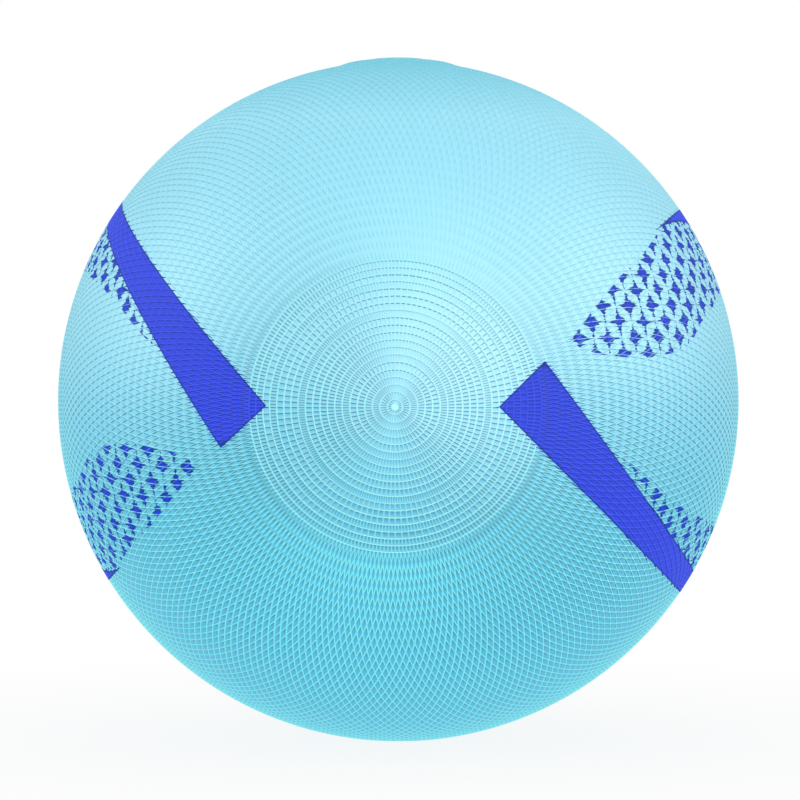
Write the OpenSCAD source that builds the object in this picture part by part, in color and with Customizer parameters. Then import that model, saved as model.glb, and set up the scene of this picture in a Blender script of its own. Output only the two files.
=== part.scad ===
// Soft rubber volleyball: two moulded half covers joined at the equator, with a
// replaceable valve plug at the top. The origin is the ball's centre, +Z is up
// through the valve, and the two ring-patterned poles face -Y (front) and +Y (back).

/* [Ball] */
// Circumference measured over the ribs
circumference = 780; // [700:5:860]
// Height of the moulded ribs above the skin
rib_h = 0.3; // [0.15:0.05:0.6]
// Thickness of the rubber wall under the ribs
wall = 1; // [0.7:0.1:2.5]
// Radius of the flat that the ball's own weight presses on the floor
rest_r = 14; // [12:1:24]

/* [Rings at the poles] */
// Number of rings around each pole
ring_count = 20; // [6:1:28]
// Distance from one ring to the next along the skin
ring_pitch = 2.5; // [1.8:0.1:3.2]

/* [Seam] */
// Width of the strip inside the equator seam
strip_w = 14; // [8:1:24]
// Thickness of that strip
strip_t = 0.8; // [0.4:0.1:2]

/* [Valve] */
// Radius of the swelling around the valve
bulge_r = 24; // [18:1:32]
// Height of the swelling above the skin
bulge_h = 1.1; // [0.6:0.1:2]
// Radius of the reinforcing patch inside the cover
patch_r = 22; // [17:1:30]
// Thickness of the patch
patch_t = 1.5; // [0.8:0.1:3]
// Radius of the seat's flange, bonded under the patch
flange_r = 14; // [9:1:16]
// Thickness of that flange
flange_t = 1.2; // [0.8:0.1:3]
// Radius of the seat's neck, and of the hole it fills in the cover and the patch
neck_r = 6.5; // [5.5:0.1:8]
// Length of the seat from the top of the swelling down into the ball
seat_len = 22; // [20:1:30]
// Radius of the plug's head
head_r = 4.2; // [3.8:0.1:5]
// Thickness of the plug's head
head_t = 1.6; // [1:0.1:2.5]
// Depth of the plug's head below the top of the swelling
head_sink = 0.4; // [0.2:0.1:1]
// Radius of the plug's stem
stem_r = 3; // [2.4:0.1:3.5]
// Length of the stem under the head
stem_len = 16; // [13:1:17]
// Radial gap between the plug and the seat
plug_gap = 0.05; // [0.02:0.01:0.1]
// Radius of the hole for an inflating needle
needle_r = 1.1; // [0.8:0.05:1.4]
// Depth of that hole from the top of the head
needle_depth = 12; // [8:1:13]
// Width and depth of the lead-in at the mouth of that hole
lead_in = 0.8; // [0.3:0.1:1]

/* [Printed bands] */
// Thickness of the ink film
ink_t = 0.1; // [0.05:0.01:0.2]
// Direction that the long outer edge faces, in the front view
outer_turn = 225; // [215:1:235]
// Distance of the outer edge from the pole, in the front view
outer_d = 23.4; // [15:0.1:30]
// Direction that the long inner edge faces, in the front view
inner_turn = 37; // [30:1:42]
// Distance of the inner edge from the pole, in the front view
inner_d = 48.7; // [42:0.1:56]
// Distance of the band's tip behind the equator
tip_y = 58; // [40:1:75]
// Direction that the square end faces, in the front view
end_turn = 135; // [125:1:145]
// Distance of the square end past the pole, in the front view
end_d = 29.1; // [20:0.1:36]
// Offset of the right panel's print about X
right_turn_x = -2; // [-4:0.1:4]
// Offset of the right panel's print about Z
right_turn_z = -1.3; // [-4:0.1:4]
// Offset of the left panel's print about X
left_turn_x = -2.5; // [-4:0.1:4]
// Offset of the left panel's print about Y
left_turn_y = 2.4; // [-4:0.1:4]
// Offset of the left panel's print about Z
left_turn_z = -2.8; // [-4:0.1:4]

/* [Hidden] */

$fn = 144;
rib_fn = 24;
eps = 0.01;

rubber_blue = [0.56, 0.88, 0.95];
inner_blue = [0.5, 0.78, 0.84];
valve_grey = [0.22, 0.3, 0.36];
ink_blue = [0.2, 0.25, 0.85];

ball_r = circumference / (2 * PI);
skin_r = ball_r - rib_h;
// Larger than the ball, for cutting blocks
reach = 4 * ball_r;

// The floor cuts the skin in a circle of radius rest_r, this far below the centre
rest_z = sqrt(skin_r * skin_r - rest_r * rest_r);

// The swelling is the cap of a smaller sphere that meets the skin in a circle of radius bulge_r
top_z = skin_r + bulge_h;
cap_h = top_z - sqrt(skin_r * skin_r - bulge_r * bulge_r);
cap_r = (bulge_r * bulge_r + cap_h * cap_h) / (2 * cap_h);

// Bottom faces of the plug's head, the plug and the seat
head_z = top_z - head_sink - head_t;
plug_z = head_z - stem_len;
seat_z = top_z - seat_len;

// The left panel's print is the right panel's turned half round about Y, each with its offset,
// and within a panel the back band is the front band turned half round about X
half_turn = 180;
right_turn = [right_turn_x, 0, right_turn_z];
left_turn = [left_turn_x, half_turn + left_turn_y, left_turn_z];
front_turn = [0, 0, 0];
back_turn = [half_turn, 0, 0];

// Behind the equator the inner edge leans in, so that it meets the outer edge at the tip.
// In the front view the edges draw together by taper, and the tip is tip_side along the outer edge
taper = outer_turn - half_turn - inner_turn;
tip_side = sqrt(skin_r * skin_r - tip_y * tip_y - outer_d * outer_d);
tip_d = outer_d * cos(taper) + tip_side * sin(taper);
tip_lean = atan((inner_d - tip_d) / tip_y);
// Room past the tip before the band's space ends
tip_room = 5;

// Angle from the pole of a point this far along the skin
function skin_angle(along) = along / skin_r * half_turn / PI;

// Section of the ribbed ball through its poles, on one side of the axis
module ribbed_section(grown = 0) {
    intersection() {
        union() {
            circle(r = skin_r + grown);
            for (k = [1:ring_count], pole = [-1, 1]) {
                a = skin_angle(k * ring_pitch);
                translate([skin_r * sin(a), pole * skin_r * cos(a)])
                    circle(r = rib_h + grown, $fn = rib_fn);
            }
        }
        translate([0, -reach / 2]) square([reach / 2, reach]);
    }
}

// Front half of the ribbed ball, solid, without the valve's swelling
module ribbed_half() {
    rotate([90, 0, 0])
        rotate_extrude()
            intersection() {
                ribbed_section();
                square(reach);
            }
}

// All points above the floor, raised by inset
module above_floor(inset = 0) {
    translate([-reach / 2, -reach / 2, inset - rest_z]) cube(reach);
}

// The ball's smooth form, this far under the skin: sphere, swelling and flat
module ball_form(inset = 0) {
    intersection() {
        union() {
            sphere(r = skin_r - inset);
            swelling(inset);
        }
        above_floor(inset);
    }
}

module swelling(inset = 0) {
    translate([0, 0, top_z - cap_r]) sphere(r = cap_r - inset);
}

// The layer between two depths under the skin
module layer(depth, thickness) {
    difference() {
        ball_form(depth);
        ball_form(depth + thickness);
    }
}

// Upright round bar on the valve's axis, from z to past the top of the ball
module valve_bar(r, z) {
    translate([0, 0, z]) cylinder(r = r, h = reach / 2 - z);
}

module half_cover() {
    difference() {
        intersection() {
            union() {
                ribbed_half();
                intersection() {
                    swelling();
                    translate([-reach / 2, -reach, 0]) cube(reach);
                }
            }
            above_floor();
        }
        ball_form(wall);
        valve_bar(neck_r, 0);
    }
}

module cover_front() {
    color(rubber_blue) half_cover();
}

module cover_back() {
    color(rubber_blue) mirror([0, 1, 0]) half_cover();
}

// Strip bonded over the inside of the seam, ending at the valve patch
module seam_strip() {
    color(inner_blue)
        difference() {
            intersection() {
                layer(wall, strip_t);
                translate([-reach / 2, -strip_w / 2, -reach / 2]) cube([reach, strip_w, reach]);
            }
            valve_bar(patch_r, 0);
        }
}

module valve_patch() {
    color(inner_blue)
        difference() {
            intersection() {
                layer(wall, patch_t);
                valve_bar(patch_r, 0);
            }
            valve_bar(neck_r, 0);
        }
}

// Rubber housing: a neck through the cover, a flange under the patch and a tube inside
module valve_seat() {
    color(valve_grey)
        difference() {
            union() {
                intersection() {
                    ball_form();
                    valve_bar(neck_r, seat_z);
                }
                intersection() {
                    layer(wall + patch_t, flange_t);
                    valve_bar(flange_r, 0);
                }
            }
            valve_bar(stem_r + plug_gap, 0);
            valve_bar(head_r + plug_gap, head_z);
        }
}

// Push-in plug with a blind needle hole; its tip is tapered so that it finds the seat
module valve_plug() {
    mouth_z = head_z + head_t;
    color(valve_grey)
        difference() {
            union() {
                translate([0, 0, head_z]) cylinder(r = head_r, h = head_t);
                translate([0, 0, plug_z + lead_in]) cylinder(r = stem_r, h = stem_len - lead_in + eps);
                translate([0, 0, plug_z]) cylinder(r1 = stem_r - lead_in, r2 = stem_r, h = lead_in);
            }
            translate([0, 0, mouth_z - needle_depth]) cylinder(r = needle_r, h = needle_depth + eps);
            translate([0, 0, mouth_z - lead_in])
                cylinder(r1 = needle_r, r2 = needle_r + lead_in, h = lead_in);
        }
}

// All points on the near side of a plane that faces turn in the front view and leans back by lean
module near_side(turn, distance, lean = 0) {
    rotate([0, -turn, 0])
        rotate([0, 0, lean])
            translate([distance - reach, -reach / 2, -reach / 2])
                cube(reach);
}

// The space of one band: square end near the front pole, tip behind the equator
module band_space() {
    intersection() {
        near_side(outer_turn, -outer_d);
        near_side(inner_turn, inner_d);
        near_side(inner_turn, inner_d * cos(tip_lean), tip_lean);
        near_side(end_turn, -end_d);
        translate([-reach / 2, tip_y + tip_room - reach, -reach / 2]) cube(reach);
    }
}

// Ink film over the ribbed skin, in a band's space turned within its panel and to its panel
module band(panel_turn, own_turn) {
    color(ink_blue)
        intersection() {
            rotate([90, 0, 0])
                rotate_extrude()
                    difference() {
                        ribbed_section(ink_t);
                        ribbed_section();
                    }
            rotate(panel_turn) rotate(own_turn) band_space();
        }
}

module band_right_front() {
    band(right_turn, front_turn);
}

module band_right_back() {
    band(right_turn, back_turn);
}

module band_left_front() {
    band(left_turn, front_turn);
}

module band_left_back() {
    band(left_turn, back_turn);
}

cover_front();
cover_back();
seam_strip();
valve_patch();
valve_seat();
valve_plug();
band_right_front();
band_right_back();
band_left_front();
band_left_back();
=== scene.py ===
"""Looks of a soft rubber volleyball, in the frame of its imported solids, in metres.

The cover is a net of moulded ribs: rings with spokes around both poles, and two families of
mirrored spirals from the rings to the equator. The poles face -Y (front) and +Y (back), and
the valve is at +Z. theta is the angle from the front pole, phi the angle around it from +X.
"""
import math

import bmesh
import bpy
import numpy as np
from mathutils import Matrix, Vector


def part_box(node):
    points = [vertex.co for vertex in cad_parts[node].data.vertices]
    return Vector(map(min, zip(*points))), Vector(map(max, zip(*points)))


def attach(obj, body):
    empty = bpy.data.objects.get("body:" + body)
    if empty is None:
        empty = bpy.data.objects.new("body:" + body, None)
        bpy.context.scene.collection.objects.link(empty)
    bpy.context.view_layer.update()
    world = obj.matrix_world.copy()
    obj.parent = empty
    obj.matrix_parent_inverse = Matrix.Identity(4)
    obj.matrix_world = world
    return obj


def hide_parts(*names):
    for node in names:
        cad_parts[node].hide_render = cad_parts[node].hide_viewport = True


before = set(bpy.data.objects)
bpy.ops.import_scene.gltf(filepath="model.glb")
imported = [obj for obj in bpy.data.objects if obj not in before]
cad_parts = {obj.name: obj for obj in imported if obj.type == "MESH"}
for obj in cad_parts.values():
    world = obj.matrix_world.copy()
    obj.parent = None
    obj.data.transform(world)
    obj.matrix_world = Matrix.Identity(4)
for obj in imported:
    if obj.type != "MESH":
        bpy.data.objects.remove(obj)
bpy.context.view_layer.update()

MM = 0.001
TINY = 1e-9
UP = np.array([0.0, 0.0, 1.0])
REAR = np.array([0.0, 1.0, 0.0])

# Ball, as in the solids
SKIN_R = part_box("cover_front")[1][0]
REST_Z = -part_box("cover_front")[0][2]
WALL = 1.0 * MM
RIB_H = 0.3 * MM
RIB_HALF = 0.34 * MM
# A rib takes up no more than this share of the room from a cell's middle to its side
RIB_SHARE = 0.55
# Painted shade: cosine of the angle of a cell's corner that is fully shaded, and how far down a
# cell it reaches
CORNER_SHADE_FULL = 0.8
CORNER_SHADE_REACH = 0.7
# Painted light: between these heights the net is paler towards the valve, the rings by this share
# of it
TOP_LIT_FROM, TOP_LIT_TO = -0.06, 0.04
RING_TOP_LIT = 0.6
# How much the height takes from the painted corner shade, and how pale a floor is painted at least:
# rings, then spirals
CORNER_SHADE_LOSS = (0.85, 0.75)
FLOOR_PALE = (0.68, 0.0)
# Painted highlight on the ridges: most on the rings (1), least on the spokes between them (0), the
# spirals by this
NET_HIGHLIGHT = 0.5
# Painted shade darkens the sides of the ribs that face away from the light, this way up and to the
# front
LIGHT_WAY = np.array([0.15, -0.45, 0.88])
SHADE_GAIN = 1.3
# Painted highlight: the stars' print is left off the sides of the ribs that face up more than this
GLINT_FROM = 0.78

# Swelling around the valve: a step at its edge and a low crown
BULGE_R = 24.0 * MM
BULGE_EDGE = 7.0 * MM
BULGE_STEP = 0.7 * MM
BULGE_CROWN = 0.4 * MM

# Rings and the spokes in each row, from the pole outwards
HUB_R = 1.1 * MM
RING_PITCH = 2.5 * MM
SPOKES = (15, 30) + 4 * (60,) + 6 * (120,) + (240,) + 3 * (120,) + (240, 120, 240, 240)
RINGS = len(SPOKES)

# Spirals: they cross in rows, the first of which lies on the last ring and the last on the equator
SPIRALS = 240
STEP = 2 * math.pi / SPIRALS
FIRST_ROW = 11
LAST_ROW = 58
# This angle sets how much closer the rows lie towards the equator
SPREAD = 0.746

# Valve: room kept free of ribs, and the hole in the cover
NECK_R = 6.5 * MM
VALVE_ROOM = 11.5 * MM
# Distance from the valve's axis and height over the skin of each ring of the smooth collar
COLLAR = (
    (10.2 * MM, 0.30 * MM),
    (9.9 * MM, 0.42 * MM),
    (9.5 * MM, 0.48 * MM),
    (9.1 * MM, 0.42 * MM),
    (8.8 * MM, 0.22 * MM),
    (8.5 * MM, 0.12 * MM),
    (6.9 * MM, 0.10 * MM),
    (6.6 * MM, 0.02 * MM),
)
HEAD_T = 1.6 * MM

# Printed bands, as in the solids: the planes of their edges in the front view, each by the way
# that it faces, in degrees, and its distance from the centre
INK_T = 0.06 * MM
INK_SINK = 0.03 * MM
OUTER_TURN, OUTER_D = 225, 23.4 * MM
INNER_TURN, INNER_D = 37, 48.7 * MM
END_TURN, END_D = 135, 29.1 * MM
TIP_Y = 58.0 * MM
TIP_ROOM = 5.0 * MM
# Skin this near to a band is cut to its planes, and points this near to each other are one
BAND_NEAR = 10.0 * MM
WELD = 0.001 * MM
# The ends of an edge are alike where their share of a rib differs by less than this
RIB_ALIKE = 0.02
# How far a band's ink runs on along the sides of the ribs with painted shade, and the dark rim
# inside its edge
INK_RUN = (0.3 * MM, 1.2 * MM)
RUN_BLUR = 0.05 * MM
INK_RIM = (0.25 * MM, 0.6 * MM)
# Turns of the bands from the place where their planes are given, in degrees about X, Y and Z
RIGHT_TURN = (-2.0, 0.0, -1.3)
LEFT_TURN = (-2.5, 182.4, -2.8)
BACK_TURN = (180.0, 0.0, 0.0)

# Lattice of four-pointed stars, in degrees around and up from the front of its panel
STAR_AROUND, STAR_UP = 5.66, 5.18
STAR_FIRST = (31.5, 8.78)
# Its rows climb a little and its columns lean a little
STAR_CLIMB, STAR_LEAN = 0.0436, 0.35
# The curve of a star's sides, its height to its width, and how far it reaches
STAR_POWER, STAR_TALL, STAR_REACH = 0.5, 0.86, 0.665
STAR_BLUR, BORDER_BLUR = 0.02, 0.12
# The dark rim inside a star's edge
STAR_RIM = (0.03, 0.3)
# The print's streaks are this much longer than high, this fine and this deep
STREAK_LONG, STREAK_SCALE, STREAK_DEPTH = 6, 160, 0.7
# On the sides with the painted highlight, the print draws back by this and keeps this much of its
# ink
GLINT_BACK, GLINT_INK = 0.1, 0.25
# Lower border of the lattice (around, up) and its slanting end
LATTICE_BORDER = (
    (29.8, 8.0), (34.8, 6.4), (42, 5.9), (47, 6.2), (52, 7.0), (58, 9.0), (63, 12.5), (75, 17),
    (90, 20), (106, 20.6), (119, 18.6), (128, 15.8), (138, 10.6), (146, 7), (180, 7),
)
LATTICE_END = ((28, 7), (29.8, 8.7), (35.2, 14), (41.7, 19.2), (50, 23.9), (58, 28.2), (75, 40))

# Linear colours
COVER_FLOOR = (0.014, 0.49, 0.74)
# Painted shade: in the cells' corners, then under the ribs
COVER_CORNER_SHADE = (0.006, 0.25, 0.4)
COVER_SHADE = (0.004, 0.17, 0.27)
# Painted highlights: the ridges, the ring crests; then the top, painted paler as if lit from above
COVER_RIDGE_HIGHLIGHT = (0.15, 0.87, 0.98)
COVER_CREST_HIGHLIGHT = (0.32, 0.98, 1.0)
COVER_TOP_LIT = (0.19, 0.63, 0.79)
INK_COLOUR = (0.036, 0.075, 0.87)
# Painted shade on the ink, then a painted highlight on its ridges
INK_SHADE = (0.008, 0.018, 0.28)
INK_RIDGE_HIGHLIGHT = (0.058, 0.115, 0.95)
INK_EDGE = (0.004, 0.045, 0.32)
INK_STAR = (0.012, 0.055, 0.76)
VALVE_COLOUR = (0.035, 0.06, 0.085)
VALVE_WORN = (0.07, 0.1, 0.13)
INNER_COLOUR = (0.16, 0.5, 0.62)
INNER_DUSTY = (0.3, 0.6, 0.68)

# Scales of the noises: clouds that vary dust and the painted light and shade, and the grain of a
# surface
COVER_CLOUD, COVER_GRAIN = 28, 1900
INK_CLOUD, INK_GRAIN = 45, 1700
VALVE_CLOUD, INNER_CLOUD, RUBBER_GRAIN = 300, 60, 2400
# Strength and depth of the grain
COVER_BUMP, INK_BUMP, RUBBER_BUMP = (0.25, 0.05 * MM), (0.2, 0.04 * MM), (0.3, 0.04 * MM)
# Nearly all values of a noise lie in this span
NOISE_SPAN = (0.3, 0.7)
# Where along a rib its dash of painted shade sets in, and what is left of it where the top is
# painted pale
DASH_END = (0.02, 0.13)
SHADE_FADE = (0.6, 1.0, 1.0, 0.5)
# How far up the side of a rib the painted ridge highlight begins and is full, and how far painted
# shade lifts that
HIGHLIGHT_FROM, HIGHLIGHT_FULL = (0.05, 0.1), (0.3, 0.45)
SHADE_LIFT = 0.6
# What is left of the painted ridge highlight where the top is painted pale, and on the spokes
TOP_LIT_HIGHLIGHT, SPOKE_HIGHLIGHT = 0.15, 0.55
# How far up the side of a rib the print begins to be left off for the painted highlight, and is in
# full
GLINT_SPAN = (0.1, 0.4)
COVER_GLOSS, COVER_ROUGH = 0.2, (0.5, 0.6)
# Sheen: what is left of it on the painted shade, and around the valve between two heights
SHEEN_IOR, SHEEN_ROUGH, SHADE_SHEEN = 1.7, 0.58, 0.4
DULL_SPAN, DULL_SHEEN = (0.1, 0.122), 0.1
INK_GLOSS, INK_ROUGH = 0.08, (0.5, 0.64)
# Ink: its painted shade in cells' corners and on the sides away from the light, its painted
# highlight on ridges, and how dark its rim is
INK_CORNER_SHADE, INK_SIDE_SHADE, INK_RIM_DARK = (0.2, 0.35), 0.9, 0.85
INK_HIGHLIGHT_FROM, INK_HIGHLIGHT_FULL = 0.2, (0.7, 1.0)
# Plain rubber: where dust shows in its clouds and grain
DUST_CLOUD, DUST_GRAIN = (0.4, 0.75), (0.2, 0.8)
RUBBER_GLOSS, RUBBER_VARIES, VALVE_ROUGH, INNER_ROUGH = 0.4, 0.06, 0.6, 0.7


# Geometry helpers

def unit(v):
    return v / np.linalg.norm(v, axis=-1, keepdims=True)


def direction(theta, phi):
    """Unit vectors at an angle from the front pole and an angle around it."""
    return np.stack([np.sin(theta) * np.cos(phi), -np.cos(theta), np.sin(theta) * np.sin(phi)], -1)


def turned(degrees):
    """Matrix of turns about X, then Y, then Z."""
    a, b, c = np.radians(degrees)
    rx = np.array([[1, 0, 0], [0, np.cos(a), -np.sin(a)], [0, np.sin(a), np.cos(a)]])
    ry = np.array([[np.cos(b), 0, np.sin(b)], [0, 1, 0], [-np.sin(b), 0, np.cos(b)]])
    rz = np.array([[np.cos(c), -np.sin(c), 0], [np.sin(c), np.cos(c), 0], [0, 0, 1]])
    return rz @ ry @ rx


def smooth_step(x):
    x = np.clip(x, 0, 1)
    return x * x * (3 - 2 * x)


def place(dirs, height):
    """Points at a height over the skin, swollen at the valve and flat on the floor."""
    along = SKIN_R * np.arccos(np.clip(dirs @ UP, -1, 1))
    swell = BULGE_STEP * smooth_step((BULGE_R - along) / BULGE_EDGE)
    swell = swell + BULGE_CROWN * np.clip(1 - (along / BULGE_R) ** 2, 0, None)
    radius = SKIN_R + swell + height
    down = np.clip(-dirs[..., 2], TINY, None)
    return dirs * np.minimum(radius, REST_Z / down)[..., None]


def inset(corners, width):
    """Corners of cells (cell, corner, xyz), as directions, moved in from the sides by width."""
    sides = unit(np.cross(corners, np.roll(corners, -1, axis=1)))
    before = np.roll(sides, 1, axis=1)
    open_by = 1 + (before * sides).sum(-1, keepdims=True)
    return unit(corners + width[:, None, None] * (before + sides) / open_by)


# The net of ribs on the front half

def rib_net():
    """Directions of the joints of the front half, and its cells as lists of joints."""
    parts = []
    starts = []
    counts = []

    def add_joints(theta, phi):
        starts.append(sum(counts))
        counts.append(len(phi))
        parts.append(direction(np.full(len(phi), theta), phi))
        return starts[-1]

    def around(count):
        return 2 * math.pi * np.arange(count) / count

    add_joints(HUB_R / SKIN_R, around(SPOKES[0]))
    for k in range(1, RINGS):
        add_joints(k * RING_PITCH / SKIN_R, around(max(SPOKES[k - 1], SPOKES[k])))
    # The last ring holds a spoke and the first crossing of two spirals in each step
    rim = RINGS * RING_PITCH / SKIN_R
    add_joints(rim, around(2 * SPIRALS))
    first = math.asin(math.sin(SPREAD) * math.tan(rim / 2))
    spread = np.linspace(first, SPREAD, LAST_ROW - FIRST_ROW + 1)
    rows = {}
    for m in range(FIRST_ROW + 1, LAST_ROW + 1):
        theta = 2 * math.atan(math.sin(spread[m - FIRST_ROW]) / math.sin(SPREAD))
        rows[m] = add_joints(theta, around(SPIRALS) + (m % 2) * STEP / 2)
    joints = np.concatenate(parts)
    joints[rows[LAST_ROW]:, 1] = 0

    def on_ring(k, j):
        return starts[k] + j % counts[k]

    def on_row(m, j):
        if m == FIRST_ROW:
            return on_ring(RINGS, 2 * j + 1)
        return rows[m] + j % SPIRALS

    cells = [np.arange(SPOKES[0])[None, :]]
    for k, spokes in enumerate(SPOKES):
        j = np.arange(spokes)
        inner, outer = counts[k] // spokes, counts[k + 1] // spokes
        cells.append(np.stack(
            [on_ring(k, j * inner)]
            + [on_ring(k + 1, j * outer + t) for t in range(outer + 1)]
            + [on_ring(k, j * inner + t) for t in range(inner, 0, -1)], -1))
    j = np.arange(SPIRALS)
    cells.append(np.stack([on_row(FIRST_ROW, j - 1), on_row(FIRST_ROW + 1, j), on_row(FIRST_ROW, j),
                           on_ring(RINGS, 2 * j)], -1))
    for m in range(FIRST_ROW + 1, LAST_ROW + 1):
        odd = m % 2
        corners = [on_row(m - 1, j), on_row(m, j - odd), on_row(m, j + 1 - odd)]
        if m < LAST_ROW:
            # A cell is split across its short diagonal, from side to side
            corners = [corners[1], on_row(m + 1, j), corners[2], corners[0]]
        cells.append(np.stack(corners, -1))
    return joints, cells, rows[LAST_ROW]


class Half:
    """Mesh data of one half of the cover: a closed shell with the ribs on its outside."""

    JOINT, FLOOR, COLLAR, LIP, UNDER = range(5)

    def __init__(self, joints, cells, equator):
        near = np.arccos(np.clip(joints @ UP, -1, 1)) * SKIN_R < VALVE_ROOM
        hub, cells = cells[0], cells[1:]
        gone = [c for group in cells for c in group[near[group].any(1)]]
        cells = [group[~near[group].any(1)] for group in cells]

        self.dirs = [joints]
        self.heights = [np.full(len(joints), RIB_H)]
        self.kinds = [np.full(len(joints), self.JOINT)]
        self.pits = [np.zeros(len(joints))]
        # Cells nearer to the pole than this are in the rings
        self.rim = math.cos((RINGS + 0.5) * RING_PITCH / SKIN_R)
        self.size = len(joints)
        self.outer = [tuple(hub[0])]
        self.grime = [0.0]
        self.under = []
        for group in cells:
            self.add_cells(joints, group)
        inner = self.add(joints, -WALL, self.UNDER)
        for group in [hub] + cells:
            self.under += [tuple(c) for c in (inner + group[:, ::-1])]
        self.add_collar(joints, gone, equator, inner)
        # The flat edge at the equator
        minus, plus = cells[-1][:, 1], cells[-1][:, 2]
        self.under += list(zip(plus, minus, inner + minus, inner + plus))

    def add(self, dirs, height, kind, pit=0.0):
        """Adds points and returns the number of the first."""
        start = self.size
        self.dirs.append(dirs)
        self.heights.append(np.broadcast_to(height, len(dirs)))
        self.kinds.append(np.full(len(dirs), kind))
        self.pits.append(np.broadcast_to(pit, len(dirs)))
        self.size += len(dirs)
        return start

    def add_cells(self, joints, group):
        """Each cell gets a floor and, along each side, the slope up to the rib's ridge."""
        corners = joints[group]
        sides = unit(np.cross(corners, np.roll(corners, -1, axis=1)))
        middle = unit(corners.mean(1))
        room = (sides * middle[:, None]).sum(-1).min(1)
        width = np.minimum(RIB_HALF / SKIN_R, RIB_SHARE * room)
        floors = inset(corners, width)
        # A narrow cell is shallow, so that the slopes are the same everywhere
        depth = RIB_H * np.minimum(1, width * SKIN_R / RIB_HALF)
        count = group.shape[1]
        # Painted shade: sharp corners of a cell are darkened as if little light got into them,
        ahead = unit(np.roll(corners, -1, axis=1) - corners)
        sharp = -(ahead * np.roll(ahead, 1, axis=1)).sum(-1)
        # most of all in the upper part of the cell, as a painted shadow from above
        high = corners[..., 2] - middle[:, None, 2]
        high = high / np.abs(high).max(1, keepdims=True)
        pit = smooth_step(sharp / CORNER_SHADE_FULL) * smooth_step(CORNER_SHADE_REACH + high)
        # In the rings the painted shadow lies on the upper side of each cell
        pit = np.where(-middle[:, 1:2] > self.rim, smooth_step(high), pit)
        start = self.add(floors.reshape(-1, 3), np.repeat(RIB_H - depth, count), self.FLOOR,
                         pit.ravel())
        floor = start + np.arange(group.size).reshape(group.shape)
        self.outer += [tuple(c) for c in floor]
        self.grime += [0.0] * len(floor)
        for i in range(count):
            k = (i + 1) % count
            self.outer += list(zip(group[:, i], group[:, k], floor[:, k], floor[:, i]))
            # Painted shade on sides away from the light, negative for a painted highlight on upper
            # sides of level ribs
            glint = smooth_step((sides[:, i] @ UP - GLINT_FROM) / (1 - GLINT_FROM))
            self.grime += list(smooth_step(-SHADE_GAIN * sides[:, i] @ LIGHT_WAY) - glint)

    def add_collar(self, joints, gone, equator, inner):
        """Smooth collar from the ribs' edge around the valve to the hole, and back underneath."""
        sides = {(c[i - 1], c[i]) for c in gone for i in range(len(c))}
        follow = {a: b for a, b in sides if (b, a) not in sides and min(a, b) < equator}
        chain = list(set(follow) - set(follow.values()))
        while chain[-1] in follow:
            chain.append(follow[chain[-1]])
        chain = np.array(chain)
        x, y = joints[chain][:, 0], joints[chain][:, 1]
        turn = np.arctan2(y, x)
        turn[[0, -1]] = -math.pi, 0

        def ring(radius, height, kind):
            tilt = math.asin(radius / (SKIN_R + BULGE_STEP + BULGE_CROWN))
            dirs = np.stack([np.sin(tilt) * np.cos(turn), np.sin(tilt) * np.sin(turn),
                             np.full(len(turn), np.cos(tilt))], -1)
            dirs[[0, -1], 1] = 0
            return np.arange(len(turn)) + self.add(dirs, height, kind)

        rings = [chain]
        rings += [ring(radius, height, self.COLLAR) for radius, height in COLLAR]
        rings.append(ring(NECK_R, 0, self.LIP))
        top = len(rings) - 1
        rings.append(ring(NECK_R, -WALL, self.LIP))
        rings.append(chain + inner)
        for i, (a, b) in enumerate(zip(rings, rings[1:])):
            faces = self.outer if i < top else self.under
            faces += list(zip(a[:-1], a[1:], b[1:], b[:-1]))
        self.grime += [0.0] * (len(self.outer) - len(self.grime))
        self.under.append(tuple(r[0] for r in rings))
        self.under.append(tuple(r[-1] for r in reversed(rings)))

    def finished(self, back):
        """Points, outer faces and their painted side shade, other faces, kinds and painted corner
        shade of a half.
        """
        points = place(np.concatenate(self.dirs), np.concatenate(self.heights))
        kinds, pits = np.concatenate(self.kinds), np.concatenate(self.pits)
        outer, under = self.outer, self.under
        if back:
            points = points * np.array([1, -1, 1])
            outer = [f[::-1] for f in outer]
            under = [f[::-1] for f in under]
        return points, outer, self.grime, under, kinds, pits


def lattice(points):
    """For each point: place in the star lattice, and degrees inside the lattice's border."""
    dirs = unit(points)
    left = dirs[:, 0] < 0
    dirs[left] = dirs[left] @ turned(LEFT_TURN)
    dirs[~left] = dirs[~left] @ turned(RIGHT_TURN)
    below = dirs[:, 2] < 0
    dirs[below] = dirs[below] @ turned(BACK_TURN)
    around = np.degrees(np.arctan2(dirs[:, 0], -dirs[:, 1]))
    up = np.degrees(np.arcsin(np.clip(dirs[:, 2], -1, 1)))
    border = np.interp(around, *zip(*LATTICE_BORDER))
    end = np.interp(around, *zip(*LATTICE_END))
    # Out of sight below a band, the lattice ends by the band's outer edge
    band = np.degrees(np.arcsin((dirs[:, 0] - dirs[:, 2]) * math.sqrt(0.5)))
    band = band - math.degrees(math.asin(OUTER_D / SKIN_R))
    inside = np.minimum(np.minimum(up - border, end - up), band)
    along = around - STAR_FIRST[0]
    row = (up - STAR_FIRST[1] - STAR_CLIMB * along) / STAR_UP
    return np.stack([(along + STAR_LEAN * row) / STAR_AROUND, row, inside], -1)


# Objects

def new_object(name, points, faces, material, body, slot, *nodes):
    mesh = bpy.data.meshes.new(name)
    mesh.from_pydata(np.asarray(points).tolist(), [], faces, shade_flat=False)
    mesh.materials.append(material)
    obj = bpy.data.objects.new(name, mesh)
    bpy.context.scene.collection.objects.link(obj)
    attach(obj, body)
    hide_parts(*nodes)
    return obj


def set_attribute(mesh, name, kind, domain, field, values):
    layer = mesh.attributes.new(name, kind, domain)
    layer.data.foreach_set(field, np.ascontiguousarray(values).ravel())


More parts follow.
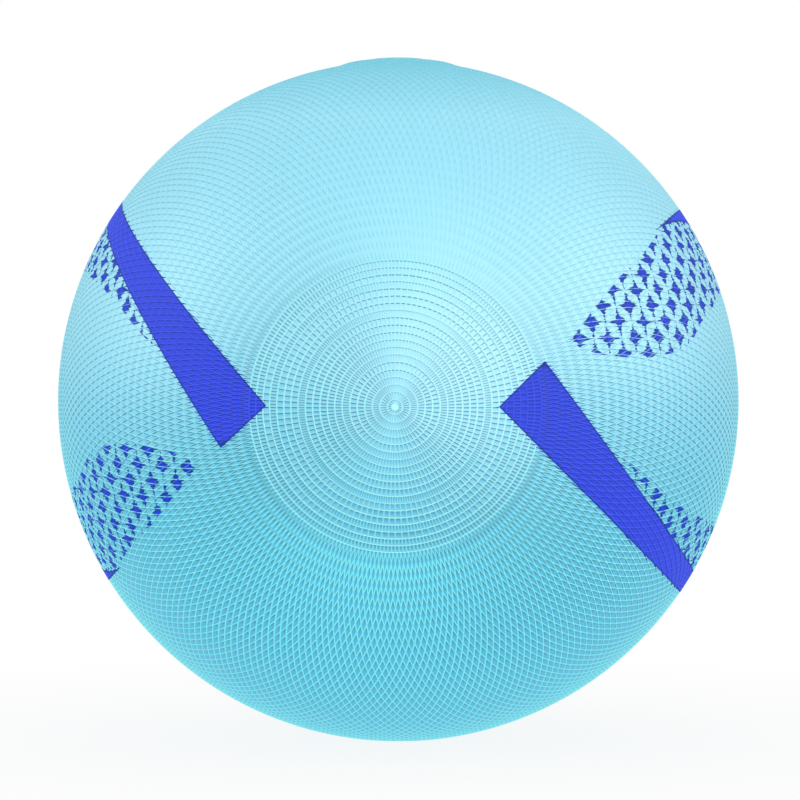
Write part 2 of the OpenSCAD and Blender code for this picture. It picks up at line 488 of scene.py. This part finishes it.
def set_floats(mesh, domain, **layers):
    for name, values in layers.items():
        set_attribute(mesh, name, "FLOAT", domain, "value", np.asarray(values, dtype=np.float32))


def set_sharp(mesh, edges):
    set_attribute(mesh, "sharp_edge", "BOOLEAN", "EDGE", "value", edges)


def edge_ends(mesh):
    ends = np.empty(2 * len(mesh.edges), dtype=np.int32)
    mesh.edges.foreach_get("vertices", ends)
    return ends.reshape(-1, 2).T


def cover_piece(name, half, material, node):
    """One half of the cover, with what its material has to know of ribs, cells, print and painted
    light and shade.
    """
    points, outer, grime, under, kinds, pits = half
    used = np.zeros(len(points), bool)
    used[np.concatenate([np.array(f) for f in outer + under])] = True
    number = np.cumsum(used) - 1
    faces = [tuple(number[list(f)]) for f in outer + under]
    points, kinds, pits = points[used], kinds[used], pits[used]
    mesh = new_object(name, points, faces, material, "ball", "cover", node).data
    a, b = edge_ends(mesh)
    folded = (kinds[a] == kinds[b]) & np.isin(kinds[a], (Half.JOINT, Half.FLOOR, Half.LIP))
    on_seam = np.abs(points[:, 1]) < TINY
    set_sharp(mesh, folded | on_seam[a] & on_seam[b])

    faint = smooth_step((points[:, 2] - TOP_LIT_FROM) / (TOP_LIT_TO - TOP_LIT_FROM))
    in_rings = np.abs(points[:, 1]) > SKIN_R * math.cos(RINGS * RING_PITCH / SKIN_R)
    # 1 in painted corner shade, 0 on a deep blue floor and -1 on a floor painted pale as if lit
    pale = np.where(in_rings, *FLOOR_PALE)
    pits = pits * (1 - np.where(in_rings, *CORNER_SHADE_LOSS) * faint)
    depth = pits - (1 - pits) * (pale + (1 - pale) * faint)
    away = np.min([past_band(points, turn) for turn in band_turns().values()], axis=0)
    set_floats(mesh, "POINT", rib=kinds == Half.JOINT, depth=depth, away=away,
               faint=np.where(in_rings, RING_TOP_LIT, 1) * faint)
    set_attribute(mesh, "lattice", "FLOAT_VECTOR", "POINT", "vector",
                  lattice(points).astype(np.float32))

    # How much a rib runs round the pole, by the first two corners of its side, sets its painted
    # highlight
    ends = np.array([f[:2] for f in faces[:len(outer)]])
    a, b = points[ends[:, 0]], points[ends[:, 1]]
    wear = smooth_step(np.abs((unit(b - a) * unit(np.cross(a + b, REAR))).sum(-1)))
    wear = np.where(in_rings[ends[:, 0]], wear, NET_HIGHLIGHT)
    set_floats(mesh, "FACE", grime=grime + [0.0] * len(under),
               wear=np.concatenate([wear, np.ones(len(under))]))

    # How far along its rib each corner of a side with painted shade lies, and the middle elsewhere
    along = [(0, 1, 1, 0) if amount > 0 else (0.5,) * len(face)
             for face, amount in zip(outer, grime)]
    along += [(0.5,) * len(face) for face in under]
    set_floats(mesh, "CORNER", along=np.concatenate(along))


def band_planes():
    """The planes that bound a band, as (way out, distance from the centre)."""

    def way(turn, lean=0.0):
        t = math.radians(turn)
        return np.array([math.cos(lean) * math.cos(t), math.sin(lean),
                         math.cos(lean) * math.sin(t)])

    taper = math.radians(OUTER_TURN - 180 - INNER_TURN)
    tip_side = math.sqrt(SKIN_R ** 2 - TIP_Y ** 2 - OUTER_D ** 2)
    tip_d = OUTER_D * math.cos(taper) + tip_side * math.sin(taper)
    lean = math.atan((INNER_D - tip_d) / TIP_Y)
    return [
        (way(OUTER_TURN), -OUTER_D),
        (way(INNER_TURN), INNER_D),
        (way(INNER_TURN, lean), INNER_D * math.cos(lean)),
        (way(END_TURN), -END_D),
        (REAR, TIP_Y + TIP_ROOM),
    ]


def band_turns():
    """For each band, the turn from the place where its planes are given."""
    right, left, back = turned(RIGHT_TURN), turned(LEFT_TURN), turned(BACK_TURN)
    return {"band_right_front": right, "band_right_back": right @ back,
            "band_left_front": left, "band_left_back": left @ back}


def past_band(points, turn):
    """How far each point lies outside a band's planes."""
    return np.max([points @ (turn @ way) - distance for way, distance in band_planes()], axis=0)


def band_piece(name, halves, turn, material):
    """The ribbed skin inside the band's planes, as a closed film a little over the cover."""
    bm = bmesh.new()
    # The film takes over the painted corner shade and side shade of the cover
    rib = bm.verts.layers.float.new("rib")
    deep = bm.verts.layers.float.new("pit")
    shaded = bm.faces.layers.float.new("grime")
    for points, outer, grime, _, kinds, pits in halves:
        near = past_band(points, turn) < BAND_NEAR
        made = {}
        for face, amount in zip(outer, grime):
            if not near[list(face)].all():
                continue
            corners = []
            for i in face:
                if i not in made:
                    made[i] = bm.verts.new(points[i])
                    made[i][rib] = float(kinds[i] == Half.JOINT)
                    made[i][deep] = pits[i]
                corners.append(made[i])
            bm.faces.new(corners)[shaded] = amount
    bmesh.ops.remove_doubles(bm, verts=bm.verts[:], dist=WELD)
    for way, distance in band_planes():
        way = turn @ way
        bmesh.ops.bisect_plane(
            bm, geom=bm.verts[:] + bm.edges[:] + bm.faces[:], dist=WELD,
            plane_co=Vector(way * distance), plane_no=Vector(way), clear_outer=True)
    loose = [v for v in bm.verts if not v.link_faces]
    bmesh.ops.delete(bm, geom=loose, context="VERTS")
    bm.normal_update()
    bm.verts.index_update()
    base = np.array([v.co for v in bm.verts])
    normals = np.array([v.normal for v in bm.verts])
    ribs = np.array([v[rib] for v in bm.verts], dtype=np.float32)
    pits = np.array([v[deep] for v in bm.verts], dtype=np.float32)
    inside = -past_band(base, turn)
    count = len(base)
    faces = [tuple(v.index for v in f.verts) for f in bm.faces]
    grime = [f[shaded] for f in bm.faces]
    rims = []
    for edge in bm.edges:
        if edge.is_boundary:
            loop = edge.link_loops[0]
            a, b = loop.vert.index, loop.link_loop_next.vert.index
            rims.append((b, a, a + count, b + count))
    bm.free()
    under = [tuple(i + count for i in reversed(f)) for f in faces]
    points = np.concatenate([base + INK_T * normals, base - INK_SINK * normals])
    mesh = new_object(name + "_visual", points, faces + under + rims, material, "ball", "ink",
                      name).data
    a, b = edge_ends(mesh)
    on_rim = np.zeros(2 * count, bool)
    on_rim[np.array(rims).ravel()] = True
    # Along a ridge and around a floor both ends of an edge are alike
    ribs = np.concatenate([ribs, ribs])
    alike = np.abs(ribs[a] - ribs[b]) < RIB_ALIKE
    set_sharp(mesh, alike | on_rim[a] & on_rim[b])
    set_floats(mesh, "POINT", rib=ribs, pit=np.concatenate([pits, pits]),
               inside=np.concatenate([inside, inside]))
    set_floats(mesh, "FACE", grime=grime + [0.0] * (len(under) + len(rims)))


def lathe(name, profile, material, body, slot, node, segments=96):
    """Solid of revolution about Z from a closed profile of (radius, z, sharp) points."""
    radius, z, sharp = (np.array(c) for c in zip(*profile))
    turn = 2 * math.pi * np.arange(segments) / segments
    points = []
    rows = []
    for r, height in zip(radius, z):
        if r == 0:
            rows.append(np.full(segments, len(points)))
            points.append((0.0, 0.0, height))
        else:
            rows.append(len(points) + np.arange(segments))
            points += [(r * math.cos(t), r * math.sin(t), height) for t in turn]
    faces = []
    for a, b in zip(rows, rows[1:] + rows[:1]):
        if a[0] == a[1] and b[0] == b[1]:
            continue
        for quad in zip(a, np.roll(a, -1), np.roll(b, -1), b):
            faces.append(tuple(dict.fromkeys(int(i) for i in quad)))
    mesh = new_object(name, points, faces, material, body, slot, node).data
    kept = np.zeros(len(points), bool)
    for row, flag in zip(rows, sharp):
        kept[row] = flag
    row_of = np.zeros(len(points), int)
    for i, row in enumerate(rows):
        row_of[row] = i
    a, b = edge_ends(mesh)
    set_sharp(mesh, kept[a] & (row_of[a] == row_of[b]))


# Materials

class Paint:
    """A material with a Principled shader, and short calls to wire its nodes."""

    def __init__(self, name):
        self.material = bpy.data.materials.new(name)
        self.material.use_nodes = True
        self.tree = self.material.node_tree
        self.shader = self.tree.nodes["Principled BSDF"]
        self.where = self.node("ShaderNodeTexCoord").outputs["Object"]

    def node(self, kind, inputs=None, **settings):
        made = self.tree.nodes.new(kind)
        for key, value in settings.items():
            setattr(made, key, value)
        for key, value in (inputs or {}).items():
            self.feed(made.inputs[key], value)
        return made

    def feed(self, socket, value):
        if isinstance(value, bpy.types.NodeSocket):
            self.tree.links.new(value, socket)
        elif hasattr(socket.default_value, "__len__") and len(socket.default_value) == 4:
            socket.default_value = (*value, 1)
        else:
            socket.default_value = value

    def math(self, operation, *values):
        made = self.node("ShaderNodeMath", operation=operation)
        for socket, value in zip(made.inputs, values):
            self.feed(socket, value)
        return made.outputs[0]

    def product(self, value, *others):
        for other in others:
            value = self.math("MULTIPLY", value, other)
        return value

    def between(self, value, low, high, start=0.0, end=1.0):
        """A value from low to high, drawn to the range from start to end and held there."""
        made = self.node("ShaderNodeMapRange", {
            "Value": value, "From Min": low, "From Max": high, "To Min": start, "To Max": end})
        return made.outputs[0]

    def noise(self, scale, detail=2.0, roughness=0.5, where=None):
        made = self.node("ShaderNodeTexNoise", {
            "Vector": self.where if where is None else where,
            "Scale": scale, "Detail": detail, "Roughness": roughness})
        return made.outputs["Fac"]

    def spread(self, noise, start=0.0, end=1.0):
        return self.between(noise, *NOISE_SPAN, start, end)

    def attribute(self, name, output="Fac"):
        return self.node("ShaderNodeAttribute", attribute_name=name).outputs[output]

    def mix(self, factor, a, b):
        made = self.node("ShaderNodeMix", data_type="RGBA")
        for socket, value in zip((made.inputs[0], made.inputs[6], made.inputs[7]), (factor, a, b)):
            self.feed(socket, value)
        return made.outputs[2]

    def bump(self, height, strength, distance):
        made = self.node("ShaderNodeBump", {
            "Height": height, "Strength": strength, "Distance": distance})
        self.feed(self.shader.inputs["Normal"], made.outputs["Normal"])

    def set(self, **sockets):
        for name, value in sockets.items():
            self.feed(self.shader.inputs[name.replace("_", " ")], value)


def star_ink(paint, glint):
    """Ink on the cover, and how far inside its edge: stars on two interleaved grids."""
    split = paint.node("ShaderNodeSeparateXYZ", {"Vector": paint.attribute("lattice", "Vector")})
    around, up, inside = split.outputs

    def star(shift):
        a = paint.math("PINGPONG", paint.math("ADD", around, shift), 0.5)
        b = paint.math("PINGPONG", paint.math("ADD", up, shift), 0.5)
        return paint.math("MULTIPLY_ADD", paint.math("POWER", b, STAR_POWER), STAR_TALL,
                          paint.math("POWER", a, STAR_POWER))

    nearest = paint.math("MINIMUM", star(0.0), star(0.5))
    # The print is streaky, and lighter on the upper sides of level ribs, as a painted highlight
    level = paint.node("ShaderNodeVectorMath", {0: paint.where, 1: (1, 1, STREAK_LONG)},
                       operation="MULTIPLY").outputs[0]
    streaks = paint.noise(STREAK_SCALE, detail=2, roughness=0.6, where=level)
    hold = paint.math("MULTIPLY_ADD", streaks, STREAK_DEPTH, STAR_REACH - STREAK_DEPTH / 2)
    hold = paint.math("MULTIPLY_ADD", glint, -GLINT_BACK, hold)
    edge = paint.math("SUBTRACT", hold, nearest)
    ink = paint.product(paint.between(edge, -STAR_BLUR, STAR_BLUR),
                        paint.between(inside, 0.0, BORDER_BLUR),
                        paint.between(glint, 0.0, 1.0, 1.0, GLINT_INK))
    return ink, edge


def cover_material():
    paint = Paint("cover_rubber")
    rib, faint, sides = (paint.attribute(name) for name in ("rib", "faint", "grime"))
    cloud = paint.noise(COVER_CLOUD, detail=3)
    grain = paint.noise(COVER_GRAIN, detail=4, roughness=0.6)
    # The floors keep their colour, painted paler towards the top as if lit, and painted shade
    # darkens their corners
    depth = paint.attribute("depth")
    colour = paint.mix(paint.between(depth, -1.0, 0.0), COVER_TOP_LIT, COVER_FLOOR)
    colour = paint.mix(paint.between(depth, 0.0, 1.0), colour, COVER_CORNER_SHADE)
    # Painted shade lies along the undersides of the ribs, in dashes that end short of the joints
    shaded = paint.between(sides, 0.0, 1.0)
    dash = paint.between(paint.math("PINGPONG", paint.attribute("along"), 0.5), *DASH_END)
    grime = paint.product(shaded, paint.between(faint, *SHADE_FADE), dash)
    colour = paint.mix(grime, colour, COVER_SHADE)
    # Painted highlight: the ridges are painted pale, most of all those of the rings
    lift = paint.product(grime, SHADE_LIFT)
    ridge_highlight = paint.between(rib, paint.math("ADD", lift, paint.spread(cloud, *HIGHLIGHT_FROM)),
                         paint.math("ADD", lift, paint.spread(grain, *HIGHLIGHT_FULL)))
    wear = paint.attribute("wear")
    ridge_highlight = paint.product(ridge_highlight, paint.between(faint, 0.0, 1.0, 1.0, TOP_LIT_HIGHLIGHT),
                         paint.between(wear, 0.0, NET_HIGHLIGHT, SPOKE_HIGHLIGHT, 1.0))
    highlight_colour = paint.mix(paint.between(wear, NET_HIGHLIGHT, 1.0), COVER_RIDGE_HIGHLIGHT, COVER_CREST_HIGHLIGHT)
    colour = paint.mix(ridge_highlight, colour, highlight_colour)
    # Stars, and ink of the bands that has run on along the undersides of the ribs
    glint = paint.product(paint.between(sides, -1.0, 0.0, 1.0, 0.0),
                           paint.between(rib, *GLINT_SPAN))
    ink, edge = star_ink(paint, glint)
    run = paint.product(shaded, paint.spread(grain, *INK_RUN))
    run = paint.math("SUBTRACT", run, paint.attribute("away"))
    ink = paint.math("MAXIMUM", ink, paint.between(run, -RUN_BLUR, RUN_BLUR))
    ink_colour = paint.mix(paint.between(edge, *STAR_RIM), INK_EDGE, INK_STAR)
    paint.set(Base_Color=paint.mix(ink, colour, ink_colour))
    paint.set(Roughness=paint.spread(grain, *COVER_ROUGH))
    paint.set(Specular_IOR_Level=paint.between(ink, 0.0, 1.0, COVER_GLOSS, INK_GLOSS))
    # The sheen is that of the whole round ball, weaker on the painted shade and around the valve
    height = paint.node("ShaderNodeSeparateXYZ", {0: paint.where}).outputs["Z"]
    sheen = paint.product(paint.between(grime, 0.0, 1.0, 1.0, SHADE_SHEEN),
                          paint.between(ink, 0.0, 1.0, 1.0, 0.0),
                          paint.between(height, *DULL_SPAN, 1.0, DULL_SHEEN))
    round_way = paint.node("ShaderNodeVectorMath", {0: paint.where}, operation="NORMALIZE")
    normal = paint.node("ShaderNodeVectorTransform", {0: round_way.outputs[0]},
                        vector_type="NORMAL", convert_from="OBJECT", convert_to="WORLD")
    paint.set(Coat_Weight=sheen, Coat_IOR=SHEEN_IOR, Coat_Roughness=SHEEN_ROUGH,
              Coat_Normal=normal.outputs[0])
    paint.bump(grain, *COVER_BUMP)
    return paint.material


def ink_material():
    paint = Paint("band_ink")
    rib, pit, side, inside = (paint.attribute(name) for name in ("rib", "pit", "grime", "inside"))
    grain = paint.noise(INK_GRAIN, detail=4, roughness=0.6)
    cloud = paint.noise(INK_CLOUD, detail=3)
    # Painted shade darkens the ink in the cells' corners and below the ribs, and a painted
    # highlight pales it on the ridges
    deep = paint.math("MAXIMUM", paint.product(pit, paint.spread(cloud, *INK_CORNER_SHADE)),
                      paint.product(side, INK_SIDE_SHADE))
    colour = paint.mix(deep, INK_COLOUR, INK_SHADE)
    ink_highlight = paint.between(rib, INK_HIGHLIGHT_FROM, paint.spread(grain, *INK_HIGHLIGHT_FULL))
    colour = paint.mix(ink_highlight, colour, INK_RIDGE_HIGHLIGHT)
    # It has piled up along the edge of the print
    rim = paint.between(inside, *INK_RIM, INK_RIM_DARK, 0.0)
    paint.set(Base_Color=paint.mix(rim, colour, INK_EDGE))
    paint.set(Roughness=paint.spread(grain, *INK_ROUGH), Specular_IOR_Level=INK_GLOSS)
    paint.bump(grain, *INK_BUMP)
    return paint.material


def plain_rubber(name, colour, dusty, scale, roughness):
    paint = Paint(name)
    cloud = paint.noise(scale, detail=4)
    grain = paint.noise(RUBBER_GRAIN, detail=3, roughness=0.6)
    dust = paint.product(paint.between(cloud, *DUST_CLOUD), paint.between(grain, *DUST_GRAIN))
    paint.set(Base_Color=paint.mix(dust, colour, dusty), Specular_IOR_Level=RUBBER_GLOSS)
    paint.set(Roughness=paint.spread(grain, roughness - RUBBER_VARIES, roughness + RUBBER_VARIES))
    paint.bump(grain, *RUBBER_BUMP)
    return paint.material


# Pieces

def make_valve(material):
    """The seat and the plug, with rounded edges and with grooves in the stem and the head."""
    plug_low, plug_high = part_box("valve_plug")[0][2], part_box("valve_plug")[1][2]
    seat_low, seat_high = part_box("valve_seat")[0][2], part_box("valve_seat")[1][2]
    head = plug_high - HEAD_T
    flange_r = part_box("valve_seat")[1][0]
    stem_r, bore_r, head_r, recess_r = 3.0 * MM, 3.05 * MM, 4.2 * MM, 4.25 * MM
    flange_top, flange_drop, flange_t = seat_high - 2.64 * MM, 0.94 * MM, 1.2 * MM
    blunt, lip, soft, nick = 0.8 * MM, 0.5 * MM, 0.4 * MM, 0.1 * MM

    def arc(r, z, size, start, stop, steps=5):
        angles = np.radians(np.linspace(start, stop, steps))
        return [(r + size * math.cos(t), z + size * math.sin(t), False) for t in angles]

    crown_r, crown_low, lip_low = 5.2 * MM, 0.04 * MM, 0.6 * MM
    seat = [(bore_r, seat_low, True)]
    seat += arc(NECK_R - blunt, seat_low + blunt, blunt, -90, 0)
    seat += [(NECK_R, flange_top - flange_t, True)]
    seat += [(flange_r, flange_top - flange_t - flange_drop, True)]
    seat += [(flange_r, flange_top - flange_drop, True), (NECK_R, flange_top, True)]
    seat += arc(NECK_R - lip, seat_high - lip_low, lip, 0, 90)
    seat += [(crown_r, seat_high - crown_low, False)]
    seat += arc(recess_r + soft, seat_high - soft, soft, 90, 180)
    seat += [(recess_r, head, True), (bore_r, head, True)]
    lathe("valve_seat_visual", seat, material, "ball", "valve_rubber", "valve_seat")

    needle_r, needle_depth, lead_in = 1.1 * MM, 12.0 * MM, 0.8 * MM
    groove, groove_half, grooves = 0.25 * MM, 0.7 * MM, 4
    # Radius and depth of the points across the groove in the head, and at the needle's mouth
    head_groove = ((3.3 * MM, 0.03 * MM), (2.9 * MM, 0.22 * MM), (2.5 * MM, 0.22 * MM),
                   (2.2 * MM, 0.04 * MM), (needle_r + lead_in, 0.02 * MM))
    plug = [(0.0, plug_low, False), (stem_r - blunt, plug_low, True)]
    plug += [(stem_r, plug_low + blunt, True)]
    pitch = (head - plug_low) / (grooves + 1)
    for i in range(1, grooves + 1):
        z = plug_low + i * pitch
        plug += [(stem_r, z - groove_half, True), (stem_r - groove, z - groove_half / 2, False)]
        plug += [(stem_r - groove, z + groove_half / 2, False), (stem_r, z + groove_half, True)]
    plug += [(stem_r, head, True), (head_r - nick, head, True), (head_r, head + nick, False)]
    plug += arc(head_r - soft, plug_high - soft, soft, 0, 90)
    plug += [(r, plug_high - deep, False) for r, deep in head_groove]
    plug += [(needle_r, plug_high - lead_in, True)]
    plug += [(needle_r, plug_high - needle_depth, True), (0.0, plug_high - needle_depth, False)]
    lathe("valve_plug_visual", plug, material, "plug", "valve_rubber", "valve_plug")


def make_ball():
    joints, cells, equator = rib_net()
    half = Half(joints, cells, equator)
    halves = [half.finished(back) for back in (False, True)]
    rubber = cover_material()
    cover_piece("cover_front_visual", halves[0], rubber, "cover_front")
    cover_piece("cover_back_visual", halves[1], rubber, "cover_back")
    ink = ink_material()
    for name, turn in band_turns().items():
        band_piece(name, halves, turn, ink)


def make_inside():
    """The strip and the patch inside the cover keep their solids and get a rubber surface."""
    rubber = plain_rubber("inner_rubber", INNER_COLOUR, INNER_DUSTY, INNER_CLOUD, INNER_ROUGH)
    for name in ("seam_strip", "valve_patch"):
        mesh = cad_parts[name].data
        mesh.materials.clear()
        mesh.materials.append(rubber)


# Stage

# Picture, in px: its width, the focal length, and how far the ball's centre is off the middle
PHOTO_W = 800
FOCUS_PX = 3386
CENTRE_OFF = (1.66, 1.08)
SENSOR_MM = 36
CAMERA_RADII = 10
CAMERA_AT = CAMERA_RADII * (SKIN_R + RIB_H)
CAMERA_TURN, CAMERA_UP = math.radians(0.53), math.radians(0.95)
CAMERA_SEES = 100
TABLE_SIZE, TABLE_STEPS, TABLE_GAP = 12.0, 8, 0.02 * MM
TABLE_GRAIN, TABLE_ROUGH = 6, 0.9
TABLE_TONES = ((0.78, 0.78, 0.78), (0.8, 0.8, 0.8))
# Share of the table that shines near the ball, and the distances from which it grows to all
TABLE_SHINE, TABLE_NEAR, TABLE_FAR = 0.86, 0.1, 0.35
WORLD_LEVEL = 0.83
# Cards that show in the gloss of the rubber and add no other light: place, size and power
CARDS = {
    "card_top": ((0.0, -0.3, 1.4), 4.0, 48),
    "card_high": ((0.0, -1.5, 1.9), 2.8, 38),
    "card_front": ((0.8, -2.2, 0.4), 2.0, 118),
    "card_right": ((2.2, -0.3, 0.9), 2.2, 60),
    "card_left": ((-2.2, -0.3, 0.9), 2.2, 52),
}


def make_camera():
    data = bpy.data.cameras.new("camera")
    data.sensor_width = SENSOR_MM
    data.lens = data.sensor_width * FOCUS_PX / PHOTO_W
    data.shift_x, data.shift_y = (off / PHOTO_W for off in CENTRE_OFF)
    data.clip_end = CAMERA_SEES
    camera = bpy.data.objects.new("camera", data)
    bpy.context.scene.collection.objects.link(camera)
    way = Vector((math.sin(CAMERA_TURN) * math.cos(CAMERA_UP),
                  -math.cos(CAMERA_TURN) * math.cos(CAMERA_UP), math.sin(CAMERA_UP)))
    camera.location = CAMERA_AT * way
    camera.rotation_euler = (-way).to_track_quat("-Z", "Y").to_euler()
    bpy.context.scene.camera = camera


def make_card(name, place_at, size, power):
    data = bpy.data.lights.new(name, "AREA")
    data.shape = "DISK"
    data.size = size
    data.energy = power
    light = bpy.data.objects.new(name, data)
    bpy.context.scene.collection.objects.link(light)
    light.location = place_at
    light.rotation_euler = (-Vector(place_at)).to_track_quat("-Z", "Y").to_euler()
    light.visible_diffuse = False


def seen_rays(tree):
    """1 for rays from the camera, to which the background shows as white."""
    return tree.nodes.new("ShaderNodeLightPath").outputs["Is Camera Ray"]


def make_world(strength):
    world = bpy.data.worlds.new("studio")
    bpy.context.scene.world = world
    world.use_nodes = True
    tree = world.node_tree
    level = tree.nodes.new("ShaderNodeMapRange")
    level.inputs["To Min"].default_value = strength
    tree.links.new(seen_rays(tree), level.inputs["Value"])
    background = tree.nodes["Background"]
    background.inputs["Color"].default_value = (1, 1, 1, 1)
    tree.links.new(level.outputs[0], background.inputs["Strength"])


def make_floor():
    span = np.linspace(-TABLE_SIZE / 2, TABLE_SIZE / 2, TABLE_STEPS + 1)
    points = [(x, y, -REST_Z - TABLE_GAP) for y in span for x in span]
    row = len(span)
    starts = [r * row + c for r in range(TABLE_STEPS) for c in range(TABLE_STEPS)]
    faces = [(i, i + 1, i + row + 1, i + row) for i in starts]
    mesh = bpy.data.meshes.new("floor")
    mesh.from_pydata(points, [], faces)
    floor = bpy.data.objects.new("floor", mesh)
    bpy.context.scene.collection.objects.link(floor)
    paint = Paint("floor")
    paint.set(Base_Color=paint.mix(paint.spread(paint.noise(TABLE_GRAIN, detail=3)), *TABLE_TONES))
    paint.set(Roughness=TABLE_ROUGH, Specular_IOR_Level=0.0)
    # A lit table: most of it shines plain white, and near the ball the rest keeps the shadow
    glow = paint.node("ShaderNodeEmission", {"Color": (1, 1, 1), "Strength": 1.0})
    far = paint.node("ShaderNodeVectorMath", {0: paint.where}, operation="LENGTH").outputs["Value"]
    shine = paint.between(far, TABLE_NEAR, TABLE_FAR, TABLE_SHINE, 1.0)
    blend = paint.node("ShaderNodeMixShader", {0: shine})
    paint.tree.links.new(paint.shader.outputs[0], blend.inputs[1])
    paint.tree.links.new(glow.outputs[0], blend.inputs[2])
    paint.tree.links.new(blend.outputs[0], paint.tree.nodes["Material Output"].inputs["Surface"])
    mesh.materials.append(paint.material)


make_ball()
make_valve(plain_rubber("valve_rubber", VALVE_COLOUR, VALVE_WORN, VALVE_CLOUD, VALVE_ROUGH))
make_inside()
make_floor()
make_camera()
make_world(WORLD_LEVEL)
for name, card in CARDS.items():
    make_card(name, *card)
bpy.context.scene.view_settings.view_transform = "Standard"
